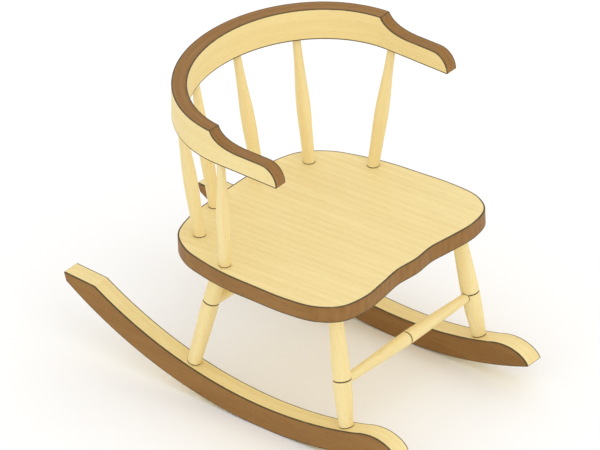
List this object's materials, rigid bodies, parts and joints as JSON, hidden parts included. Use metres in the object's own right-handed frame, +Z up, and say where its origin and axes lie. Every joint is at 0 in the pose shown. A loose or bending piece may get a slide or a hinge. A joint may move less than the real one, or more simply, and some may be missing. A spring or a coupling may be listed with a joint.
{
  "type": "miniature rocking chair",
  "caption": "Dolls-house wooden rocking chair with a low curved back and arms in one bow, turned spindles and legs, a flat seat and two curved rockers.",
  "frame": {"origin": "bottom centre of the chair's box: on the floor, midway between the rockers and midway between their two ends", "axes": "+Z up; the chair faces -Y; +X is the sitter's left; the two sides mirror each other in x = 0"},
  "size_m": [0.0494, 0.0716, 0.0583],
  "materials": {
    "pale_wood": "smooth satin varnish over pale wood",
    "brown_wood": "satin varnish over brown-stained wood"
  },
  "bodies": {
    "root": {"seat": "pale_wood", "arm_bow": "pale_wood", "spindle_left_front": "pale_wood", "spindle_left_middle": "pale_wood", "spindle_left_rear": "pale_wood", "spindle_right_front": "pale_wood", "spindle_right_middle": "pale_wood", "spindle_right_rear": "pale_wood", "leg_left_front": "pale_wood", "leg_left_rear": "pale_wood", "leg_right_front": "pale_wood", "leg_right_rear": "pale_wood", "stretcher_front": "pale_wood", "stretcher_rear": "pale_wood", "rocker_left": "brown_wood", "rocker_right": "brown_wood"}
  },
  "joints": []
}
